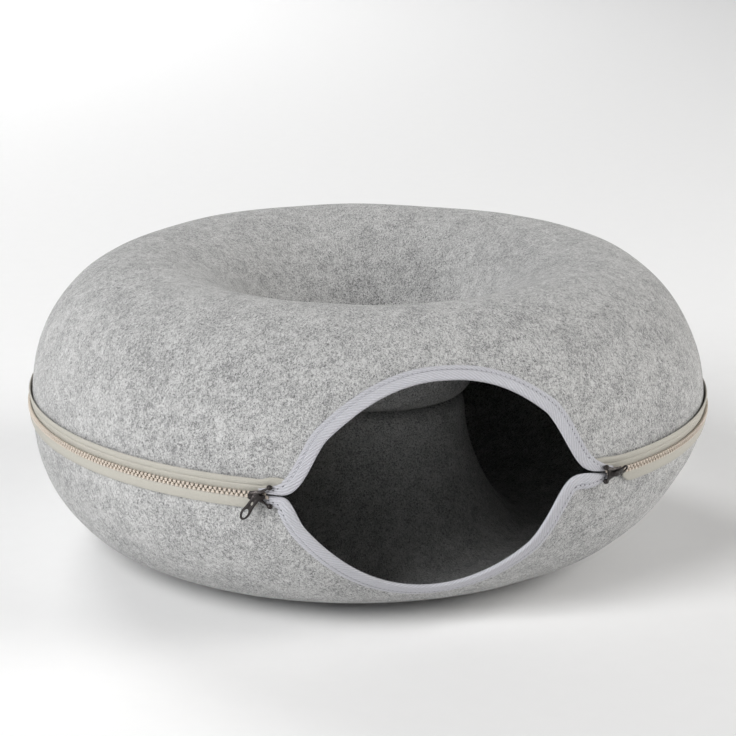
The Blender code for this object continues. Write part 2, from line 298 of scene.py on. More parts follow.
def beside_rim(half_name, angle, reach, out):
    """A point "reach" metres from the middle of the zip up or down a half, and "out" metres off its skin."""
    rim = rim_height(half_name, angle)
    if reach < RIM_HALF_GAP:
        point, normal, _, _ = skin_frame(half_name, angle, 0.0)
        down = -1 if half_name == "top" else 1
        return point + normal * out + Vector((0, 0, down * (RIM_HALF_GAP - reach)))
    quarter_height = TOP_HEIGHT - rim if half_name == "top" else rim
    share, power = (reach - RIM_HALF_GAP) / quarter_height, section_power(half_name, angle)
    turn = math.atan2(share, (1 - share**power) ** (1 / power))
    point, normal, _, _ = skin_frame(half_name, angle, turn)
    return point + normal * out


def door_angles(beyond=0.0):
    """From one end of the binding to the other, or this much further at both ends."""
    first, last = BINDING_ENDS[0] - beyond, BINDING_ENDS[1] + beyond
    return [first + (last - first) * i / DOOR_COLUMNS for i in range(DOOR_COLUMNS + 1)]


def felt_angles():
    """All round and back to the first: close together across the doorway, wider apart elsewhere."""
    across = door_angles()
    gap = across[0] + 2 * math.pi - across[-1]
    return across + [across[-1] + gap * i / ROUND_COLUMNS for i in range(1, ROUND_COLUMNS + 1)]


# Modelling helpers


def deselect():
    if bpy.context.object and bpy.context.object.mode != "OBJECT":
        bpy.ops.object.mode_set(mode="OBJECT")
    bpy.ops.object.select_all(action="DESELECT")


def pick(piece):
    deselect()
    piece.select_set(True)
    bpy.context.view_layer.objects.active = piece


def edit_all(piece):
    pick(piece)
    bpy.ops.object.mode_set(mode="EDIT")
    bpy.ops.mesh.select_all(action="SELECT")


def add_modifier(piece, kind, **values):
    """Adds a modifier with these values and applies it."""
    pick(piece)
    bpy.ops.object.modifier_add(type=kind)
    modifier = piece.modifiers[-1]
    for key, value in values.items():
        setattr(modifier, key, value)
    bpy.ops.object.modifier_apply(modifier=modifier.name)


def round_edges(piece, width, least_degrees, segments=2):
    """Bevels the edges that are sharper than this angle."""
    least = math.radians(least_degrees)
    add_modifier(piece, "BEVEL", width=width, segments=segments, limit_method="ANGLE", angle_limit=least)


def grid_sheet(name, columns, rows, place, lay):
    """A grid of columns x rows, each point moved to place(i, j) and its UV to lay(i, j), both in metres."""
    deselect()
    bpy.ops.mesh.primitive_grid_add(x_subdivisions=columns, y_subdivisions=rows, size=1, calc_uvs=True)
    piece = bpy.context.object
    piece.name = piece.data.name = name
    mesh = piece.data
    spots = [(round((v.co.x + 0.5) * columns), round((v.co.y + 0.5) * rows)) for v in mesh.vertices]
    places = [place(i, j) for i, j in spots]
    lays = [lay(i, j) for i, j in spots]
    mesh.vertices.foreach_set("co", [c for point in places for c in point])
    corners = [c for loop in mesh.loops for c in lays[loop.vertex_index]]
    mesh.uv_layers[0].data.foreach_set("uv", corners)
    mesh.update()
    return piece


def faces_towards(piece, direction):
    """Turns an open sheet over if its first face looks away from this direction."""
    if piece.data.polygons[0].normal.dot(direction) < 0:
        edit_all(piece)
        bpy.ops.mesh.flip_normals()
        deselect()


def finish_piece(piece, nodes, materials, smooth_angle=math.radians(45)):
    """Shades a piece, gives it its materials, ties it to the body and hides the parts it stands for."""
    pick(piece)
    bpy.ops.object.shade_smooth_by_angle(angle=smooth_angle)
    piece.data.materials.clear()
    for each in materials:
        piece.data.materials.append(each)
    deselect()
    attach(piece, BODY)
    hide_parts(*nodes)


def joined_copies(name, template, places):
    """One mesh of a template's copies at these matrices. The template is removed."""
    points, faces = [], []
    shape = [v.co.copy() for v in template.data.vertices]
    sides = [tuple(p.vertices) for p in template.data.polygons]
    for matrix in places:
        first = len(points)
        points += [matrix @ co for co in shape]
        faces += [tuple(first + i for i in side) for side in sides]
    mesh = bpy.data.meshes.new(name)
    mesh.from_pydata(points, [], faces)
    bpy.data.objects.remove(template)
    piece = bpy.data.objects.new(name, mesh)
    bpy.context.scene.collection.objects.link(piece)
    return piece


def upright(point, along, out):
    """A place at a point with x along, z out and y square to both."""
    along = (along - out * along.dot(out)).normalized()
    across = out.cross(along)
    return Matrix.Translation(point) @ Matrix((along, across, out)).transposed().to_4x4()


def zip_place(angle, out=0.0, side=1):
    """On the chain's face: z out, x round the ring towards +angle or, with side -1, the other way."""
    outwards = around(1, angle, 0) - around(0, angle, 0)
    along = around(1, angle + side * math.pi / 2, 0) - around(0, angle, 0)
    return upright(around(ZIP_FACE + out, angle, rim_height("", angle)), along, outwards)


# Materials


class Wiring:
    """Short ways to add and link the nodes of one material or group."""

    def __init__(self, tree):
        self.tree = tree

    def node(self, kind, **values):
        made = self.tree.nodes.new(kind)
        for key, value in values.items():
            if key in made.inputs:
                made.inputs[key].default_value = value
            else:
                setattr(made, key, value)
        return made

    def put(self, source, socket):
        if hasattr(source, "is_output"):
            self.tree.links.new(source, socket)
        else:
            socket.default_value = source

    def sum(self, operation, *terms, clamp=False):
        made = self.tree.nodes.new("ShaderNodeMath")
        made.operation, made.use_clamp = operation, clamp
        for term, socket in zip(terms, made.inputs):
            self.put(term, socket)
        return made.outputs[0]

    def swing(self, source, most, start=None):
        """The source about its middle, times this much, and from this start."""
        middle = self.sum("SUBTRACT", source, 0.5)
        if start is None:
            return self.sum("MULTIPLY", middle, most)
        return self.sum("MULTIPLY_ADD", middle, most, start)

    def line(self, source, level, width):
        """1 where the source crosses a level, easing to 0 this far from it."""
        return self.ease(self.sum("ABSOLUTE", self.sum("SUBTRACT", source, level)), 0.0, width, 1.0, 0.0)

    def ease(self, source, low, high, start=0.0, end=1.0):
        made = self.node("ShaderNodeMapRange", interpolation_type="SMOOTHSTEP")
        for value, socket in zip((source, low, high, start, end), made.inputs):
            self.put(value, socket)
        return made.outputs[0]

    def mix(self, factor, first, second, blend="MIX"):
        made = self.node("ShaderNodeMix", data_type="RGBA", blend_type=blend)
        for value, name in ((factor, 0), (first, 6), (second, 7)):
            self.put(value, made.inputs[name])
        return made.outputs[2]

    def scaled(self, vector, scale):
        made = self.node("ShaderNodeVectorMath", operation="MULTIPLY")
        self.put(vector, made.inputs[0])
        made.inputs[1].default_value = scale
        return made.outputs[0]

    def noise(self, vector, scale, detail=2.0, roughness=0.5, distortion=0.0):
        made = self.node("ShaderNodeTexNoise", Scale=scale, Detail=detail, Roughness=roughness)
        made.inputs["Distortion"].default_value = distortion
        self.put(vector, made.inputs["Vector"])
        return made.outputs


def new_group(name, inputs, outputs):
    """A shader node group with these (name, kind, default) inputs and (name, kind) outputs."""
    group = bpy.data.node_groups.new(name, "ShaderNodeTree")
    for label, kind, default in inputs:
        socket = group.interface.new_socket(label, in_out="INPUT", socket_type="NodeSocket" + kind)
        if default is not None:
            socket.default_value = default
    for label, kind in outputs:
        group.interface.new_socket(label, in_out="OUTPUT", socket_type="NodeSocket" + kind)
    wiring = Wiring(group)
    return group, wiring, wiring.node("NodeGroupInput").outputs, wiring.node("NodeGroupOutput").inputs


# The felt's wool: scales of its textures, in cycles a metre, and how far each moves its colour
WOOL_SCALES = {
    "clouds": 30.0, "patches": 120.0, "wander": 240.0, "loose": 520.0, "tangle": 950.0, "fuzz": 2400.0,
}
WOOL_WEIGHTS = {"streaked": 3.3, "tangle": 2.0, "fuzz": 1.2, "clouds": 0.6, "patches": 0.6}
WOOL_MIDDLE = 0.58
LONG_FIBRES = (1250, 1250, 290)
CURLED_FIBRES = (560, 560, 260)
WANDER = 0.005
HAIR_WIDTH = 0.030
HAIR_SHARE = 0.45
PALE_WIDTH = 0.026
PALE_SHARE = 0.45
PALE_LEVEL = 0.47


def felt_fibres_group():
    """Heathered pressed wool: cloudy patches, fine fibres laid along the pressing, dark flecks."""
    group, wires, given, result = new_group(
        "felt fibres",
        (
            ("Place", "Vector", None),
            ("Lay", "Vector", None),
            ("Streaks", "Float", 1.0),
            ("Light", "Color", (0.66, 0.66, 0.65, 1)),
            ("Dark", "Color", (0.3, 0.3, 0.3, 1)),
            ("Flecks", "Float", 0.5),
        ),
        (("Color", "Color"), ("Height", "Float")),
    )
    clouds = wires.noise(given["Place"], WOOL_SCALES["clouds"], 3.0, 0.6)[0]
    patches = wires.noise(given["Place"], WOOL_SCALES["patches"], 3.0, 0.65)[0]
    wander = wires.noise(given["Place"], WOOL_SCALES["wander"], 2.0)[1]
    bent = wires.node("ShaderNodeVectorMath", operation="MULTIPLY_ADD")
    wires.put(wander, bent.inputs[0])
    bent.inputs[1].default_value = (WANDER, WANDER, WANDER)
    wires.put(given["Lay"], bent.inputs[2])
    long_fibres = wires.noise(wires.scaled(bent.outputs[0], LONG_FIBRES), 1.0, 3.0, 0.65)[0]
    tangle = wires.noise(given["Place"], WOOL_SCALES["tangle"], 3.0, 0.7, 0.8)[0]
    fuzz = wires.noise(given["Place"], WOOL_SCALES["fuzz"], 2.0, 0.7)[0]
    streaked = wires.mix(given["Streaks"], tangle, long_fibres)
    fine = wires.swing(streaked, WOOL_WEIGHTS["streaked"], WOOL_MIDDLE)
    fine = wires.sum("ADD", fine, wires.swing(tangle, WOOL_WEIGHTS["tangle"]))
    fine = wires.sum("ADD", fine, wires.swing(fuzz, WOOL_WEIGHTS["fuzz"]))
    broad = wires.swing(clouds, WOOL_WEIGHTS["clouds"])
    broad = wires.sum("ADD", broad, wires.swing(patches, WOOL_WEIGHTS["patches"]))
    share = wires.sum("ADD", fine, broad, clamp=True)
    colour = wires.mix(share, given["Dark"], given["Light"])
    curls = wires.noise(wires.scaled(bent.outputs[0], CURLED_FIBRES), 1.0, 1.0, 0.5, 0.9)[0]
    hairs = wires.line(curls, 0.5, HAIR_WIDTH)
    hairs = wires.sum("MULTIPLY", hairs, wires.ease(patches, 0.38, 0.62, 1.0, 0.25))
    colour = wires.mix(wires.sum("MULTIPLY", hairs, HAIR_SHARE), colour, given["Dark"])
    loose = wires.noise(given["Place"], WOOL_SCALES["loose"], 1.0, 0.5, 1.4)[0]
    pale = wires.line(loose, PALE_LEVEL, PALE_WIDTH)
    colour = wires.mix(wires.sum("MULTIPLY", pale, PALE_SHARE), colour, given["Light"])
    flecks = wires.noise(wires.scaled(given["Lay"], CURLED_FIBRES), 1.0, 1.0, 0.5, 1.2)[0]
    flecks = wires.sum("MULTIPLY", wires.ease(flecks, 0.72, 0.79), given["Flecks"])
    wires.put(wires.mix(flecks, colour, given["Dark"]), result["Color"])
    height = wires.sum("ADD", wires.sum("MULTIPLY", streaked, 0.6), wires.sum("MULTIPLY", fuzz, 0.4))
    height = wires.sum("ADD", height, wires.sum("MULTIPLY", pale, 0.12))
    wires.put(height, result["Height"])
    return group


def weave_group():
    """Ribs of a woven tape on its own UVs, in metres: diagonal for twill, straight for a plain tape."""
    group, wires, given, result = new_group(
        "tape weave",
        (
            ("Turn", "Float", 0.0),
            ("Ribs", "Float", 650.0),
            ("Picks", "Float", 1600.0),
            ("Depth", "Float", 0.2),
        ),
        (("Shade", "Float"), ("Height", "Float")),
    )
    uv = wires.node("ShaderNodeUVMap").outputs[0]
    turned = wires.node("ShaderNodeVectorRotate", rotation_type="Z_AXIS")
    wires.put(uv, turned.inputs["Vector"])
    wires.put(given["Turn"], turned.inputs["Angle"])
    axes = wires.node("ShaderNodeSeparateXYZ")
    wires.put(turned.outputs[0], axes.inputs[0])
    sway = wires.noise(wires.scaled(uv, (140, 140, 1)), 1.0, 2.0)[0]
    ribs = wires.sum("MULTIPLY", axes.outputs[0], given["Ribs"])
    ribs = wires.sum("ADD", ribs, wires.sum("MULTIPLY", sway, 0.9))
    ribs = wires.sum("SINE", wires.sum("MULTIPLY", ribs, 2 * math.pi))
    ribs = wires.sum("MULTIPLY_ADD", ribs, 0.5, 0.5)
    picks = wires.sum("MULTIPLY", axes.outputs[1], given["Picks"])
    picks = wires.sum("SINE", wires.sum("MULTIPLY", picks, 2 * math.pi))
    cloth = wires.sum("ADD", wires.sum("MULTIPLY", ribs, 0.8), wires.sum("MULTIPLY_ADD", picks, 0.1, 0.1))
    wires.put(cloth, result["Height"])
    worn = wires.noise(wires.scaled(uv, (900, 900, 1)), 1.0, 3.0)[0]
    # Painted shade: the grooves between the ribs are darkened by Depth; the worn noise adds random wear to
    # the tone
    shade = wires.sum("MULTIPLY", wires.sum("SUBTRACT", 1.0, cloth), given["Depth"])
    shade = wires.sum("ADD", shade, wires.swing(worn, 0.25))
    wires.put(wires.sum("SUBTRACT", 1.0, shade), result["Shade"])
    return group


def shared_group(name, build):
    return bpy.data.node_groups.get(name) or build()


def new_material(name):
    """(material, wiring, shader) with an empty Principled BSDF."""
    made = bpy.data.materials.new(name)
    made.use_nodes = True
    return made, Wiring(made.node_tree), made.node_tree.nodes["Principled BSDF"]


def finish_shader(shader, **values):
    """Sets uniform values on the shader, its sockets named with _ for a space."""
    for name, value in values.items():
        shader.inputs[name.replace("_", " ")].default_value = value


def woven(wires, turn, ribs, picks, depth):
    """A tape weave node: its ribs turned this far, and how many ribs and picks a metre."""
    weave = wires.node("ShaderNodeGroup", node_tree=shared_group("tape weave", weave_group))
    for name, value in (("Turn", turn), ("Ribs", ribs), ("Picks", picks), ("Depth", depth)):
        weave.inputs[name].default_value = value
    return weave.outputs


def tinted(colour, share):
    """A colour paler or darker by a share, with alpha."""
    return (*[c * share for c in colour], 1)


def bumped(wires, shader, height, distance, strength=1.0):
    bump = wires.node("ShaderNodeBump", Strength=strength, Distance=distance)
    wires.put(height, bump.inputs["Height"])
    wires.put(bump.outputs[0], shader.inputs["Normal"])


def felt_material(name, light, dark, flecks, bump):
    made, wires, shader = new_material(name)
    fibres = wires.node("ShaderNodeGroup", node_tree=shared_group("felt fibres", felt_fibres_group))
    wires.put(wires.node("ShaderNodeTexCoord").outputs["Object"], fibres.inputs["Place"])
    lay = wires.node("ShaderNodeAttribute", attribute_name="lay")
    wires.put(lay.outputs["Vector"], fibres.inputs["Lay"])
    streaks = wires.node("ShaderNodeAttribute", attribute_name="streaks")
    wires.put(streaks.outputs["Fac"], fibres.inputs["Streaks"])
    fibres.inputs["Light"].default_value = (*light, 1)
    fibres.inputs["Dark"].default_value = (*dark, 1)
    fibres.inputs["Flecks"].default_value = flecks
    wires.put(fibres.outputs["Color"], shader.inputs["Base Color"])
    finish_shader(shader, Roughness=0.95, Specular_IOR_Level=0.15, Sheen_Weight=0.12, Sheen_Roughness=0.6)
    bumped(wires, shader, fibres.outputs["Height"], bump)
    return made


def binding_material(trim):
    """Twill bias tape with a row of needle holes near its outer edge, painted dark as the shade in them."""
    made, wires, shader = new_material("twill binding")
    weave = woven(wires, math.radians(62), 600.0, 1500.0, 0.22)
    axes = wires.node("ShaderNodeSeparateXYZ")
    wires.put(wires.node("ShaderNodeUVMap").outputs[0], axes.inputs[0])
    beat = wires.sum("PINGPONG", axes.outputs[0], trim.stitch_pitch / 2)
    near = wires.ease(beat, 0.00030, 0.00062, 1.0, 0.0)
    line = wires.sum("ABSOLUTE", wires.sum("SUBTRACT", axes.outputs[1], STITCH_LINE))
    holes = wires.sum("MULTIPLY", near, wires.ease(line, 0.00030, 0.00055, 1.0, 0.0))
    cloth = wires.mix(1.0, (*trim.binding_colour, 1), weave["Shade"], "MULTIPLY")
    # Painted shade: the needle holes are darkened to a near-black grey
    cloth = wires.mix(wires.sum("MULTIPLY", holes, 0.8), cloth, (0.09, 0.09, 0.10, 1))
    wires.put(cloth, shader.inputs["Base Color"])
    finish_shader(shader, Roughness=0.62, Specular_IOR_Level=0.3, Sheen_Weight=0.1)
    bumped(wires, shader, wires.sum("SUBTRACT", weave["Height"], holes), 0.0003)
    return made


def tape_material(trim):
    made, wires, shader = new_material("woven zip tape")
    weave = woven(wires, 0.0, 1300.0, 1100.0, 0.10)
    cloth = wires.mix(1.0, (*trim.tape_colour, 1), weave["Shade"], "MULTIPLY")
    wires.put(cloth, shader.inputs["Base Color"])
    finish_shader(shader, Roughness=0.7, Specular_IOR_Level=0.3)
    bumped(wires, shader, weave["Height"], 0.00012)
    return made


def thread_material(trim):
    made, wires, shader = new_material("sewing thread")
    place = wires.node("ShaderNodeTexCoord").outputs["Object"]
    twist = wires.noise(place, 2600.0, 2.0)[0]
    colour = trim.binding_colour
    wires.put(wires.mix(twist, tinted(colour, 0.896), tinted(colour, 1.12)), shader.inputs["Base Color"])
    finish_shader(shader, Roughness=0.6)
    bumped(wires, shader, twist, 0.0001)
    return made


def teeth_material(trim):
    """Moulded plastic with a soft satin and faint mould marks."""
    made, wires, shader = new_material("moulded teeth")
    place = wires.node("ShaderNodeTexCoord").outputs["Object"]
    cloudy = wires.noise(place, 420.0, 3.0)[0]
    tint = wires.mix(cloudy, tinted(trim.teeth_colour, 0.85), tinted(trim.teeth_colour, 1.0))
    wires.put(tint, shader.inputs["Base Color"])
    wires.put(wires.ease(cloudy, 0.3, 0.7, 0.28, 0.42), shader.inputs["Roughness"])
    bumped(wires, shader, wires.noise(place, 1800.0, 2.0)[0], 0.00004)
    return made


def metal_material(trim):
    """Dark gunmetal plating, rubbed a little paler in patches."""
    made, wires, shader = new_material("gunmetal plating")
    place = wires.node("ShaderNodeTexCoord").outputs["Object"]
    rubbed = wires.ease(wires.noise(place, 520.0, 4.0, 0.6)[0], 0.50, 0.72)
    tint = wires.mix(rubbed, tinted(trim.metal_colour, 1.0), tinted(trim.metal_colour, 2.4))
    wires.put(tint, shader.inputs["Base Color"])
    finish_shader(shader, Metallic=0.6)
    wires.put(wires.ease(rubbed, 0.0, 1.0, 0.42, 0.28), shader.inputs["Roughness"])
    bumped(wires, shader, wires.noise(place, 900.0, 3.0)[0], 0.00005)
    return made


# Felt

UV_RADIUS = 0.2
CUT_RADIUS = 0.1
STREAKS_SHARE = 0.75
STREAKS_FROM = 0.05
STREAKS_OVER = 0.06
LUMPS_CLEAR = 0.012
LUMPS_OVER = 0.03
FOOT_CLEAR = 0.006
LUMP_SCALES = (9.0, 21.0)


def felt_half(half_name, felt):
    """One moulded half, from a grid rolled round the axis, with soft lumps pressed in and its thickness."""
    angles = felt_angles()
    inner = inner_rows(half_name)
    rows = OUTER_ROWS + len(inner)
    columns = []
    for angle in angles:
        cut = door_cut(half_name, angle)
        turns = [cut + (math.pi / 2 - cut) * j / OUTER_ROWS for j in range(OUTER_ROWS + 1)]
        section = [outer_section(half_name, angle, turn) for turn in turns] + inner
        arcs = [cut * CUT_RADIUS]
        for before, after in zip(section, section[1:]):
            arcs.append(arcs[-1] + math.dist(before, after))
        columns.append((section, arcs))

    def place(i, j):
        radius, height = columns[i][0][j]
        return around(radius, angles[i], height)

    def lay(i, j):
        return angles[i] * UV_RADIUS, columns[i][1][j]

    piece = grid_sheet(f"{half_name}_felt", len(angles) - 1, rows, place, lay)
    mesh = piece.data
    spots = [(i, j) for j in range(rows + 1) for i in range(len(angles))]
    lies = [around(LAY_RADIUS, angles[i], columns[i][1][j]) for i, j in spots]
    radii = [math.hypot(v.co.x, v.co.y - AXIS_Y) for v in mesh.vertices]
    mesh.attributes.new("lay", "FLOAT_VECTOR", "POINT")
    mesh.attributes["lay"].data.foreach_set("vector", [c for lie in lies for c in lie])
    mesh.attributes.new("streaks", "FLOAT", "POINT")
    shares = [STREAKS_SHARE * smooth((radius - STREAKS_FROM) / STREAKS_OVER) for radius in radii]
    mesh.attributes["streaks"].data.foreach_set("value", shares)
    whole = piece.vertex_groups.new(name="whole")
    for index, (i, j) in enumerate(spots):
        from_edge = columns[i][1][j] - columns[i][1][0]
        whole.add([index], smooth((from_edge - EDGE_PRESSED) / EDGE_PRESSED), "REPLACE")
    edit_all(piece)
    bpy.ops.mesh.remove_doubles(threshold=1e-6)
    deselect()
    faces_towards(piece, around(1, angles[0], 0) - around(0, angles[0], 0))
    press_lumps(piece, half_name, felt.unevenness)
    add_modifier(
        piece, "SOLIDIFY", thickness=felt.thickness, offset=-1, use_even_offset=True,
        vertex_group="whole", thickness_vertex_group=EDGE_THIN, material_offset=1, material_offset_rim=1,
    )
    return piece


def press_lumps(piece, half_name, most):
    """Moves the skin in and out softly, less by the rim and the doorway, and not at all underneath."""
    mesh = piece.data
    normals = [v.normal.copy() for v in mesh.vertices]
    for vertex, normal in zip(mesh.vertices, normals):
        co = vertex.co
        angle = math.atan2(co.x, AXIS_Y - co.y)
        from_rim = abs(co.z - rim_height("", angle))
        from_cut = abs(co.z - outer_section(half_name, angle, door_cut(half_name, angle))[1])
        radius = math.hypot(co.x, co.y - AXIS_Y)
        free = 1.0
        if radius > CREST_RADIUS * 0.9:
            free = smooth((min(from_rim, from_cut) - LUMPS_CLEAR) / LUMPS_OVER)
        if half_name == "base":
            free *= smooth((co.z - FOOT_CLEAR) / LUMPS_OVER)
        slow = noise.noise(co * LUMP_SCALES[0])
        slow += 0.5 * noise.noise(co * LUMP_SCALES[1] + Vector((3, 1, 7)))
        vertex.co = co + normal * (most * slow * free)


class CATCAVE_OT_felt(Operator):
    """Mould the two felt halves of the cave"""

    bl_idname = "cat_cave.felt"
    bl_label = "Felt halves"

    def execute(self, context):
        felt = context.scene.cat_cave.felt
        outside = felt_material("grey felt", felt.light, felt.dark, 0.55, 0.0007)
        # Inside faces: dark felt, its colours darkened as painted shade of the cave's inside
        inside = felt_material("charcoal felt", felt.inside_light_shaded, felt.inside_dark_shaded, 0.3, 0.0007)
        for half_name in ("top", "base"):
            piece = felt_half(half_name, felt)
            finish_piece(piece, [f"felt_{half_name}"], [outside, inside])
        return {"FINISHED"}


# Doorway binding

BINDING_GAP = 0.0004
BINDING_CLOTH = 0.0007
NECK_LIFT = 0.0011
NECK_LONG = math.radians(4.8)
FOLD_STARTS = 0.0004
FOLD_DEEP = 0.0017
CROWN_RISE = 0.0005
SEWN_DEEP = 0.0005
SEWN_WIDE = 0.0007
HEM_INSIDE = 0.85
OUTSIDE_STEPS = 14
FOLD_STEPS = 12
INSIDE_STEPS = 6
STITCH_LINE = 0.0029
STITCH_LONG = 0.62
STITCH_SIZE = (0.00055, 0.00045)
STITCH_STAND = 0.0005
NARROW_SHARE = 0.30
NARROW_OVER = math.radians(5.5)
TUCK = math.radians(1.9)


def binding_width(angle, full):
    """The outside width, drawn in towards each slider."""
    from_end = min(angle - BINDING_ENDS[0], BINDING_ENDS[1] - angle) + TUCK
    return full * (NARROW_SHARE + (1 - NARROW_SHARE) * smooth(from_end / NARROW_OVER))


def binding_section(width, thickness):
    """(into, out) from the outer edge, over the fold, to the inner edge."""
    section = []
    for i in range(OUTSIDE_STEPS + 1):
        into = width * (1 - i / OUTSIDE_STEPS) + FOLD_STARTS * i / OUTSIDE_STEPS
        across = width - into
        sewn = SEWN_DEEP * math.exp(-(((across - STITCH_LINE) / SEWN_WIDE) ** 2))
        crown = CROWN_RISE * math.sin(math.pi * min(1.0, across / width))
        section.append((into, BINDING_GAP + BINDING_CLOTH + crown - sewn))
    top, bottom = section[-1][1], -thickness * EDGE_THIN - BINDING_GAP
    middle, half = (top + bottom) / 2, (top - bottom) / 2
    for i in range(1, FOLD_STEPS + 1):
        turn = math.pi / 2 - math.pi * i / FOLD_STEPS
        section.append((FOLD_STARTS - FOLD_DEEP * math.cos(turn) ** 0.8, middle + half * math.sin(turn)))
    for i in range(1, INSIDE_STEPS + 1):
        section.append((FOLD_STARTS + (width * HEM_INSIDE - FOLD_STARTS) * i / INSIDE_STEPS, bottom))
    return section


def door_binding(half_name, trim, thickness):
    angles = door_angles(TUCK)
    sections = [binding_section(binding_width(a, trim.binding_width), thickness) for a in angles]
    rows = len(sections[0]) - 1
    places = []
    for angle, section in zip(angles, sections):
        from_end = min(angle - angles[0], angles[-1] - angle)
        lift = NECK_LIFT * (1 - smooth((from_end - NECK_LONG) / (NECK_LONG * 0.3)))
        raised = [(into, out + lift if out > 0 else out) for into, out in section]
        places.append([beside_door(half_name, angle, into, out) for into, out in raised])
    along = [0.0]
    for before, after in zip(places, places[1:]):
        along.append(along[-1] + (after[0] - before[0]).length)
    across = []
    for section in sections:
        reach = [0.0]
        for before, after in zip(section, section[1:]):
            reach.append(reach[-1] + math.dist(before, after))
        across.append(reach)

    def place(i, j):
        return places[i][j]

    def lay(i, j):
        return along[i], across[i][j]

    piece = grid_sheet(f"{half_name}_binding", len(angles) - 1, rows, place, lay)
    middle = len(angles) // 2
    outwards = skin_frame(half_name, angles[middle], door_cut(half_name, angles[middle]))[1]
    faces_towards(piece, outwards)
    add_modifier(piece, "SOLIDIFY", thickness=BINDING_CLOTH, offset=-1)
    area = along[-1] * across[middle][-1]
    return piece, (along[-1], across[middle][-1]), area


def stitch_row(half_name, trim):
    """Short threads between the needle holes, in one mesh."""
    deselect()
    bpy.ops.mesh.primitive_cube_add(size=1)
    template = bpy.context.object
    template.data.transform(Matrix.Diagonal((trim.stitch_pitch * STITCH_LONG, *STITCH_SIZE, 1)))
    add_modifier(template, "BEVEL", width=0.00018, segments=2)
    angles = door_angles(TUCK * 0.4)
    line, outs = [], []
    out = BINDING_GAP + BINDING_CLOTH + STITCH_STAND
    for angle in angles:
        width = binding_width(angle, trim.binding_width)
        line.append(beside_door(half_name, angle, width - STITCH_LINE, out))
        outs.append(skin_frame(half_name, angle, door_cut(half_name, angle))[1])
    outer = [beside_door(half_name, a, binding_width(a, trim.binding_width), BINDING_GAP) for a in angles]
    run, places, wanted = 0.0, [], trim.stitch_pitch / 2
    for i in range(len(angles) - 1):
        step = (outer[i + 1] - outer[i]).length
        while wanted <= run + step:
            share = (wanted - run) / step
            point, facing = line[i].lerp(line[i + 1], share), outs[i].lerp(outs[i + 1], share)
            places.append(upright(point, line[i + 1] - line[i], facing.normalized()))
            wanted += trim.stitch_pitch
        run += step
    return joined_copies(f"{half_name}_binding_stitches", template, places)


class CATCAVE_OT_binding(Operator):
    """Bind both edges of the doorway and sew the binding down"""

    bl_idname = "cat_cave.binding"
    bl_label = "Doorway binding"

    def execute(self, context):
        settings = context.scene.cat_cave
        cloth, thread = binding_material(settings.trim), thread_material(settings.trim)
        for half_name in ("top", "base"):
            piece, cut, area = door_binding(half_name, settings.trim, settings.felt.thickness)
            finish_piece(piece, [f"door_binding_{half_name}"], [cloth])
            stitches = stitch_row(half_name, settings.trim)
            finish_piece(stitches, [f"door_binding_{half_name}"], [thread])
        return {"FINISHED"}


# Zip

TAPE_CLOTH = 0.0009
TAPE_SINK = math.radians(1.6)
TAPE_SUNK = 0.0012
TAPE_TUCKED = 0.0032
TAPE_UNDER_HEM = 0.0012
TAPE_COLUMNS = 260
# Each tape's section, as (distance from the middle of the zip, distance off the felt)
TAPE_SECTIONS = {
    "top": (
        (0.0012, -0.0006), (0.0010, 0.0006), (0.0022, 0.0010), (0.0036, 0.0013), (0.0048, 0.0016),
        (0.0056, 0.0017), (0.0061, 0.0013), (0.0066, 0.0018), (0.0074, 0.0023), (0.0084, 0.0026),
        (0.0094, 0.0027), (0.0103, 0.0025), (0.0108, 0.0021),
    ),
    "base": (
        (0.0012, -0.0016), (0.0010, 0.0006), (0.0022, 0.0010), (0.0036, 0.0014), (0.0050, 0.0016),
        (0.0064, 0.0016), (0.0078, 0.0014), (0.0088, 0.0012), (0.0093, 0.0009),
    ),
}
# How far each runs past the chain, right then left, the width it ends with, and its last flat stretch
TAPE_ENDS = {
    "top": {"past": (math.radians(2.4), math.radians(2.6)), "widths": (1.0, 1.30), "flat": math.radians(1.6)},
    "base": {"past": (math.radians(-4.0), math.radians(-1.8)), "widths": (0.45, 0.85), "flat": 0.0},
}


def tape_angles(before, after):
    first, last = ZIP_ENDS[0] - before, ZIP_ENDS[1] + after
    return [first + (last - first) * i / TAPE_COLUMNS for i in range(TAPE_COLUMNS + 1)]


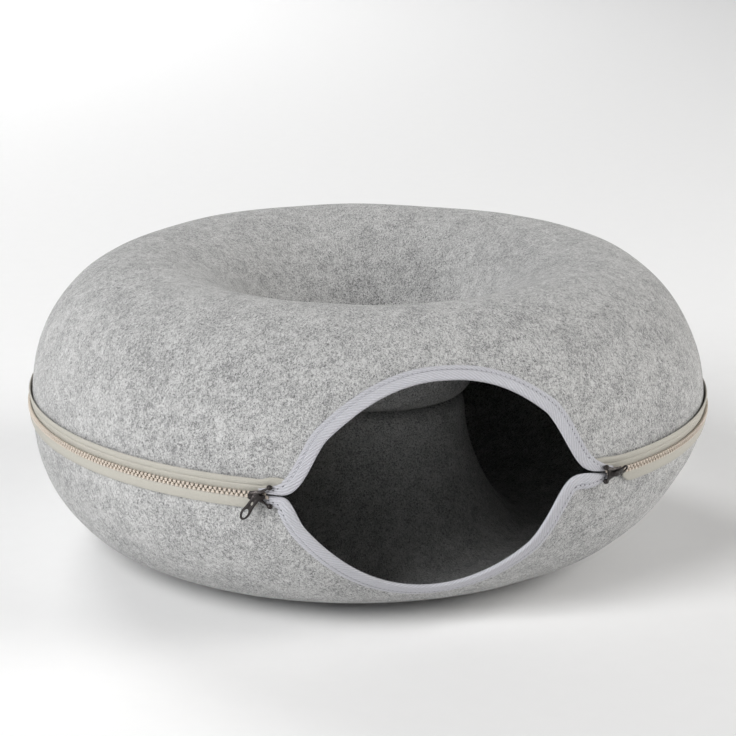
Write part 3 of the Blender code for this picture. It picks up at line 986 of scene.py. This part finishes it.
def zip_tape(half_name, width):
    """One woven tape, on the outside of a half's rim; the top's ends run under binding this wide."""
    section, ends = TAPE_SECTIONS[half_name], TAPE_ENDS[half_name]
    angles = tape_angles(*ends["past"])
    hems = [beside_door(half_name, a, binding_width(a, width), 0.0) for a in door_angles(TUCK)]
    hems = [(math.atan2(p.x, AXIS_Y - p.y), p.z) for p in hems]
    places = []
    for angle in angles:
        here = turned_in(angle)
        hem = min(hems, key=lambda spot: abs(spot[0] - here))[1]
        below_hem = abs(hem - rim_height("", angle)) - TAPE_UNDER_HEM
        from_end = min(angle - angles[0], angles[-1] - angle)
        at_end = 1 - smooth((from_end - TAPE_SINK * 0.4) / (TAPE_SINK * 0.5))
        inside = smooth((from_end - ends["flat"]) / TAPE_SINK)
        wide = ends["widths"][0 if angle < math.pi else 1]
        row = []
        for reach, out in section:
            sunk = min(out, TAPE_SUNK)
            reach = max(reach, TAPE_TUCKED * (1 - inside)) * (wide + (1 - wide) * inside)
            if half_name == "top" and reach > below_hem:
                reach += (max(below_hem, TAPE_TUCKED) - reach) * at_end
            row.append(beside_rim(half_name, angle, reach, sunk + (out - sunk) * inside))
        places.append(row)
    across = [0.0]
    for start, end in zip(section, section[1:]):
        across.append(across[-1] + math.dist(start, end))
    length = (angles[-1] - angles[0]) * FELT_RADIUS

    def place(i, j):
        return places[i][j]

    def lay(i, j):
        return angles[i] * FELT_RADIUS, across[j]

    piece = grid_sheet(f"{half_name}_tape", len(angles) - 1, len(section) - 1, place, lay)
    faces_towards(piece, around(1, angles[0], 0) - around(0, angles[0], 0))
    add_modifier(piece, "SOLIDIFY", thickness=TAPE_CLOTH, offset=-1)
    return piece, (length, across[-1])


class CATCAVE_OT_tapes(Operator):
    """Lay the zip's two woven tapes round the rims"""

    bl_idname = "cat_cave.tapes"
    bl_label = "Zip tapes"

    def execute(self, context):
        trim = context.scene.cat_cave.trim
        cloth = tape_material(trim)
        for half_name in ("top", "base"):
            piece, cut = zip_tape(half_name, trim.binding_width)
            finish_piece(piece, [f"zip_tape_{half_name}"], [cloth], math.radians(60))
        return {"FINISHED"}


def select_faces(piece, test):
    """In edit mode, selects the faces whose middle and normal pass a test, and only those."""
    bpy.ops.object.mode_set(mode="OBJECT")
    for edge in piece.data.edges:
        edge.select = False
    for vertex in piece.data.vertices:
        vertex.select = False
    for face in piece.data.polygons:
        face.select = test(face.center, face.normal)
    bpy.ops.object.mode_set(mode="EDIT")


TOOTH_FOOT = (0.0025, 0.0012, 0.0020)
TOOTH_STEP = 0.0006
TOOTH_WIDTHS = ((0.55, 1, 0.85), (1.5, 1, 1.0), (0.6, 1, 0.8))
TOOTH_FIT = (0.94, 0.76, 0.85)
TOOTH_BACK = 0.0021
TOOTH_SUNK = 0.0004


def tooth_template():
    """One moulded tooth: a broad foot on its tape, a neck and a head; y runs from foot to head."""
    deselect()
    bpy.ops.mesh.primitive_cube_add(size=1)
    tooth = bpy.context.object
    tooth.data.transform(Matrix.Diagonal((*TOOTH_FOOT, 1)))
    edit_all(tooth)
    bpy.ops.mesh.select_mode(type="FACE")
    select_faces(tooth, lambda centre, normal: normal.y > 0.9)
    for widths in TOOTH_WIDTHS:
        bpy.ops.mesh.extrude_region_move(TRANSFORM_OT_translate={"value": (0, TOOTH_STEP, 0)})
        bpy.ops.transform.resize(value=widths)
    deselect()
    tooth.data.transform(Matrix.Diagonal((*TOOTH_FIT, 1)) @ Matrix.Translation((0, -TOOTH_BACK, 0)))
    round_edges(tooth, 0.00028, 20, 1)
    return tooth


class CATCAVE_OT_teeth(Operator):
    """Mould the zip's two rows of teeth, meshed together"""

    bl_idname = "cat_cave.teeth"
    bl_label = "Zip teeth"

    def execute(self, context):
        trim = context.scene.cat_cave.trim
        first, last = ZIP_ENDS
        count = int((last - first) * FELT_RADIUS / (trim.tooth_pitch / 2))
        places = []
        for k in range(count):
            angle = first + (last - first) * (k + 0.5) / count
            places.append(zip_place(angle, -TOOTH_SUNK, 1 if k % 2 else -1))
        piece = joined_copies("zip_teeth", tooth_template(), places)
        finish_piece(piece, ["zip_chain"], [teeth_material(trim)], math.radians(30))
        return {"FINISHED"}


# Sliders and pulls

SLIDER_LIFT = 0.0010
SLIDER_SHIFT = 0.0024
SLIDER_BODY = {"length": 0.0152, "shut_width": 0.0060, "thickness": 0.0015}
OPEN_WIDTHS = {"left": 0.0140, "right": 0.0110}
NOTCHES = {"left": 0.0062, "right": 0.0016}
NOTCH_POWER = 1.6
NOTCH_FADES = 1.8
PRONG_SHARE = 0.55
PRONG_FADES = 1.9
EDGE_DROP = 0.0011
EDGE_FROM = 0.55
TAIL_ROUND = 0.0012
TAIL_FROM = 0.7
PLATE_CAST = 0.0011
STOP_SIZE = (0.0021, 0.0018, 0.0018)
STOP_IN = 0.0006
BRIDGE = {"length": 0.0086, "width": 0.0030, "rise": 0.0030, "thickness": 0.0010, "sunk": 0.0006}
BRIDGE_POWER = 3.2
BRIDGE_ENDS = 0.75
PULLS = {
    "left": {"length": 0.0215, "turn": math.radians(56), "lean": math.radians(10)},
    "right": {"length": 0.0118, "turn": math.radians(-14), "lean": math.radians(24)},
}


def slider_piece(name, side):
    """The outer half of a slider: a waisted plate with turned-down edges and a bridge for its pull."""
    sizes, open_width = SLIDER_BODY, OPEN_WIDTHS[side]
    deselect()
    bpy.ops.mesh.primitive_grid_add(x_subdivisions=14, y_subdivisions=12, size=1)
    plate = bpy.context.object
    plate.name = plate.data.name = name
    for vertex in plate.data.vertices:
        along, over = vertex.co.x + 0.5, vertex.co.y * 2
        widen = (1 - PRONG_SHARE) * (1 - along) + PRONG_SHARE * smooth(1 - along * PRONG_FADES)
        half = (sizes["shut_width"] + (open_width - sizes["shut_width"]) * widen) / 2
        notch = NOTCHES[side] * (1 - abs(over) ** NOTCH_POWER) * smooth(1 - along * NOTCH_FADES)
        drop = EDGE_DROP * smooth((abs(over) - EDGE_FROM) / (1 - EDGE_FROM))
        tail = TAIL_ROUND * over * over * smooth((along - TAIL_FROM) / (1 - TAIL_FROM))
        run = sizes["length"] * (along - 0.5) + notch - tail
        vertex.co = (run, over * half, sizes["thickness"] - drop)
    faces_towards(plate, Vector((0, 0, 1)))
    add_modifier(plate, "SOLIDIFY", thickness=PLATE_CAST, offset=-1)
    round_edges(plate, 0.0003, 40)
    bpy.ops.mesh.primitive_grid_add(x_subdivisions=14, y_subdivisions=2, size=1)
    bridge = bpy.context.object
    for vertex in bridge.data.vertices:
        along, over = vertex.co.x * 2, vertex.co.y * 2
        rise = sizes["thickness"] - BRIDGE["sunk"] + BRIDGE["rise"] * (1 - abs(along) ** BRIDGE_POWER)
        width = BRIDGE["width"] / 2 * (BRIDGE_ENDS + (1 - BRIDGE_ENDS) * (1 - along * along))
        vertex.co = (BRIDGE["length"] / 2 * along, over * width, rise)
    faces_towards(bridge, Vector((0, 0, 1)))
    add_modifier(bridge, "SOLIDIFY", thickness=BRIDGE["thickness"], offset=-1)
    round_edges(bridge, 0.0002, 40)
    stops = []
    for up in (1, -1):
        bpy.ops.mesh.primitive_uv_sphere_add(segments=16, ring_count=8, radius=1)
        stop = bpy.context.object
        spot = (STOP_IN - sizes["length"] / 2, up * (open_width / 2 - STOP_IN), 0.0002)
        stop.data.transform(Matrix.Translation(spot) @ Matrix.Diagonal((*STOP_SIZE, 1)))
        stops.append(stop)
    deselect()
    for part in (plate, bridge, *stops):
        part.select_set(True)
    bpy.context.view_layer.objects.active = plate
    bpy.ops.object.join()
    sign = 1 if side == "right" else -1
    away = Matrix.Translation((SLIDER_SHIFT, 0, 0))
    plate.data.transform(zip_place(SLIDER_ANGLES[side], SLIDER_LIFT, sign) @ away)
    return plate


PULL_HALVES = {"head": 0.0028, "waist": 0.0025, "loop": 0.0031}
PULL_LOOP = 0.26
PULL_CAST = 0.0005
# Holes: middle and half length as shares of a pull's length, and half width
LOOP_HOLE = (0.765, 0.170, 0.0017)
WAIST_HOLE = (0.37, 0.075, 0.0008)
BRIDGE_HOLE = (0.0024, 0.0013, 0.0012)
LONG_PULL = 0.018
PULL_HANGS_FROM = 0.0034
PULL_LIFT = 0.0030


def pull_half_width(along, length):
    """Half the pull's width at a share of its length: a round head, a waist and an oval loop."""
    head, waist, loop = PULL_HALVES["head"], PULL_HALVES["waist"], PULL_HALVES["loop"]
    x = along * length
    if x < head:
        return math.sqrt(max(0.0, head**2 - (head - x) ** 2))
    loop_long = length * PULL_LOOP
    from_end = length - x
    if from_end < loop_long:
        return loop * math.sqrt(max(0.0, 1 - ((loop_long - from_end) / loop_long) ** 2))
    share = (x - head) / (length - head - loop_long)
    return head + (waist - head) * smooth(share * 2.2) + (loop - waist) * smooth((share - 0.45) / 0.55)


def oval_ring(centre, half_long, half_wide, steps=20):
    turns = [2 * math.pi * i / steps for i in range(steps)]
    return [(centre + half_long * math.cos(t), half_wide * math.sin(t)) for t in turns]


def pull_piece(name, side):
    """A flat cast pull with a small hole for the bridge and a long one for a cord."""
    length = PULLS[side]["length"]
    steps = 28
    shares = [(1 - math.cos(math.pi * i / steps)) / 2 for i in range(steps + 1)]
    edge = [(s * length, pull_half_width(s, length)) for s in shares]
    outline = edge + [(x, -y) for x, y in reversed(edge[1:-1])]
    holes = [LOOP_HOLE, WAIST_HOLE] if length > LONG_PULL else [LOOP_HOLE]
    rings = [outline, oval_ring(*BRIDGE_HOLE)]
    rings += [oval_ring(length * centre, length * half_long, wide) for centre, half_long, wide in holes]
    curve = bpy.data.curves.new(name, "CURVE")
    curve.dimensions = "2D"
    curve.fill_mode = "BOTH"
    curve.extrude = PULL_CAST
    for ring in rings:
        line = curve.splines.new("POLY")
        line.points.add(len(ring) - 1)
        line.use_cyclic_u = True
        for spot, (x, y) in zip(line.points, ring):
            spot.co = (x, y, 0, 1)
    flat = bpy.data.objects.new(name, curve)
    bpy.context.scene.collection.objects.link(flat)
    pick(flat)
    bpy.ops.object.convert(target="MESH")
    piece = bpy.context.object
    edit_all(piece)
    bpy.ops.mesh.remove_doubles(threshold=1e-6)
    deselect()
    round_edges(piece, 0.00022, 50)
    sign = 1 if side == "right" else -1
    leg = Matrix.Translation((PULL_HANGS_FROM, 0, SLIDER_LIFT + PULL_LIFT))
    hang = Matrix.Rotation(-sign * PULLS[side]["turn"], 4, "Z")
    lean = Matrix.Rotation(PULLS[side]["lean"], 4, "X")
    back = Matrix.Translation((-BRIDGE_HOLE[0], 0, 0))
    piece.data.transform(zip_place(SLIDER_ANGLES[side], 0.0, sign) @ leg @ hang @ lean @ back)
    return piece


class CATCAVE_OT_sliders(Operator):
    """Make the two zip sliders, one at each corner of the doorway"""

    bl_idname = "cat_cave.sliders"
    bl_label = "Zip sliders"

    def execute(self, context):
        metal = metal_material(context.scene.cat_cave.trim)
        for side in ("left", "right"):
            piece = slider_piece(f"{side}_slider", side)
            finish_piece(piece, [f"slider_{side}"], [metal], math.radians(35))
        return {"FINISHED"}


class CATCAVE_OT_pulls(Operator):
    """Make each slider's pull, lying as it was left"""

    bl_idname = "cat_cave.pulls"
    bl_label = "Zip pulls"

    def execute(self, context):
        metal = metal_material(context.scene.cat_cave.trim)
        for side in ("left", "right"):
            piece = pull_piece(f"{side}_pull", side)
            finish_piece(piece, [f"pull_{side}"], [metal], math.radians(35))
        return {"FINISHED"}


# Stage

CAMERA_PLACE = (-0.342, -1.651, 0.608)
CAMERA_DIP = 0.2802
CAMERA_HEADING = math.radians(-11.7)
SWEEP = {"front": -5.0, "wall": 6.0, "bend": 1.5, "tall": 3.0, "wide": 20.0}
# Each light's name, place, target, size and colour; its power is a setting
LIGHTS = (
    ("key", (-2.2, -1.6, 2.2), (0, 0, 0.1), 2.0, (1.0, 1.0, 1.0)),
    ("low", (-2.8, -1.1, 0.8), (0, 0, 0.1), 1.6, (0.985, 0.99, 1.0)),
    ("fill", (2.6, -0.8, 1.2), (0, 0, 0.1), 2.0, (1.0, 0.985, 0.965)),
    ("back", (-1.2, 3.6, 2.6), (-0.6, 3.0, 0), 2.0, (1.0, 1.0, 1.0)),
)
SKY_COLOUR = (0.98, 0.99, 1.0, 1)
PAPER = ((0.90, 0.90, 0.90, 1), (0.92, 0.92, 0.92, 1))


def area_light(name, place, target, size, power, colour):
    data = bpy.data.lights.new(name, "AREA")
    data.shape, data.size, data.energy, data.color = "DISK", size, power, colour
    light = bpy.data.objects.new(name, data)
    bpy.context.scene.collection.objects.link(light)
    light.location = place
    light.rotation_euler = (Vector(target) - Vector(place)).to_track_quat("-Z", "Y").to_euler()


def white_sweep():
    """A floor that bends up into a wall, square to the camera."""
    deselect()
    bpy.ops.mesh.primitive_grid_add(x_subdivisions=2, y_subdivisions=60, size=1)
    sweep = bpy.context.object
    sweep.name = sweep.data.name = "sweep"
    front, wall, bend = SWEEP["front"], SWEEP["wall"], SWEEP["bend"]
    flat_run = wall - bend - front
    curve_run = bend * math.pi / 2
    total = flat_run + curve_run + SWEEP["tall"]
    for vertex in sweep.data.vertices:
        run = (vertex.co.y + 0.5) * total
        x = vertex.co.x * SWEEP["wide"]
        if run < flat_run:
            vertex.co = (x, front + run, 0)
        elif run < flat_run + curve_run:
            turn = (run - flat_run) / bend
            vertex.co = (x, wall - bend + bend * math.sin(turn), bend * (1 - math.cos(turn)))
        else:
            vertex.co = (x, wall, bend + run - flat_run - curve_run)
    bpy.ops.object.shade_smooth()
    sweep.data.transform(Matrix.Rotation(CAMERA_HEADING, 4, "Z"))
    paper, wires, shader = new_material("white paper")
    grain = wires.noise(wires.node("ShaderNodeTexCoord").outputs["Object"], 60.0, 3.0)[0]
    wires.put(wires.mix(grain, *PAPER), shader.inputs["Base Color"])
    finish_shader(shader, Roughness=0.7, Specular_IOR_Level=0.2)
    sweep.data.materials.append(paper)


class CATCAVE_OT_stage(Operator):
    """Set up the floor, the backdrop, soft lights and the camera"""

    bl_idname = "cat_cave.stage"
    bl_label = "Stage"

    def execute(self, context):
        stage = context.scene.cat_cave.stage
        white_sweep()
        for name, place, target, size, colour in LIGHTS:
            area_light(name, place, target, size, getattr(stage, f"{name}_power"), colour)
        world = context.scene.world or bpy.data.worlds.new("sky")
        context.scene.world = world
        world.use_nodes = True
        sky = world.node_tree.nodes["Background"].inputs
        sky[0].default_value = SKY_COLOUR
        sky[1].default_value = stage.sky
        context.scene.view_settings.view_transform = "Standard"
        data = bpy.data.cameras.new("camera")
        data.lens, data.sensor_width = stage.lens, 36.0
        camera = bpy.data.objects.new("camera", data)
        context.scene.collection.objects.link(camera)
        camera.location = (CAMERA_PLACE[0], CAMERA_PLACE[1] + AXIS_Y, CAMERA_PLACE[2])
        camera.rotation_euler = (math.pi / 2 - CAMERA_DIP, 0, CAMERA_HEADING)
        context.scene.camera = camera
        return {"FINISHED"}


STEPS = (
    CATCAVE_OT_stage,
    CATCAVE_OT_felt,
    CATCAVE_OT_binding,
    CATCAVE_OT_tapes,
    CATCAVE_OT_teeth,
    CATCAVE_OT_sliders,
    CATCAVE_OT_pulls,
)


class CATCAVE_PT_sidebar(Panel):
    bl_label = "Felt cat cave"
    bl_space_type = "VIEW_3D"
    bl_region_type = "UI"
    bl_category = "Cat cave"

    def draw(self, context):
        for step in STEPS:
            self.layout.operator(step.bl_idname, text=step.bl_label)


CLASSES = (CaveFeltSettings, CaveTrimSettings, CaveStageSettings, CaveSettings, *STEPS, CATCAVE_PT_sidebar)


def register():
    for each in CLASSES:
        bpy.utils.register_class(each)
    bpy.types.Scene.cat_cave = PointerProperty(type=CaveSettings)


def unregister():
    del bpy.types.Scene.cat_cave
    for each in reversed(CLASSES):
        bpy.utils.unregister_class(each)


def main():
    register()
    for step in STEPS:
        group, name = step.bl_idname.split(".")
        getattr(getattr(bpy.ops, group), name)()


if __name__ == "__main__":
    main()
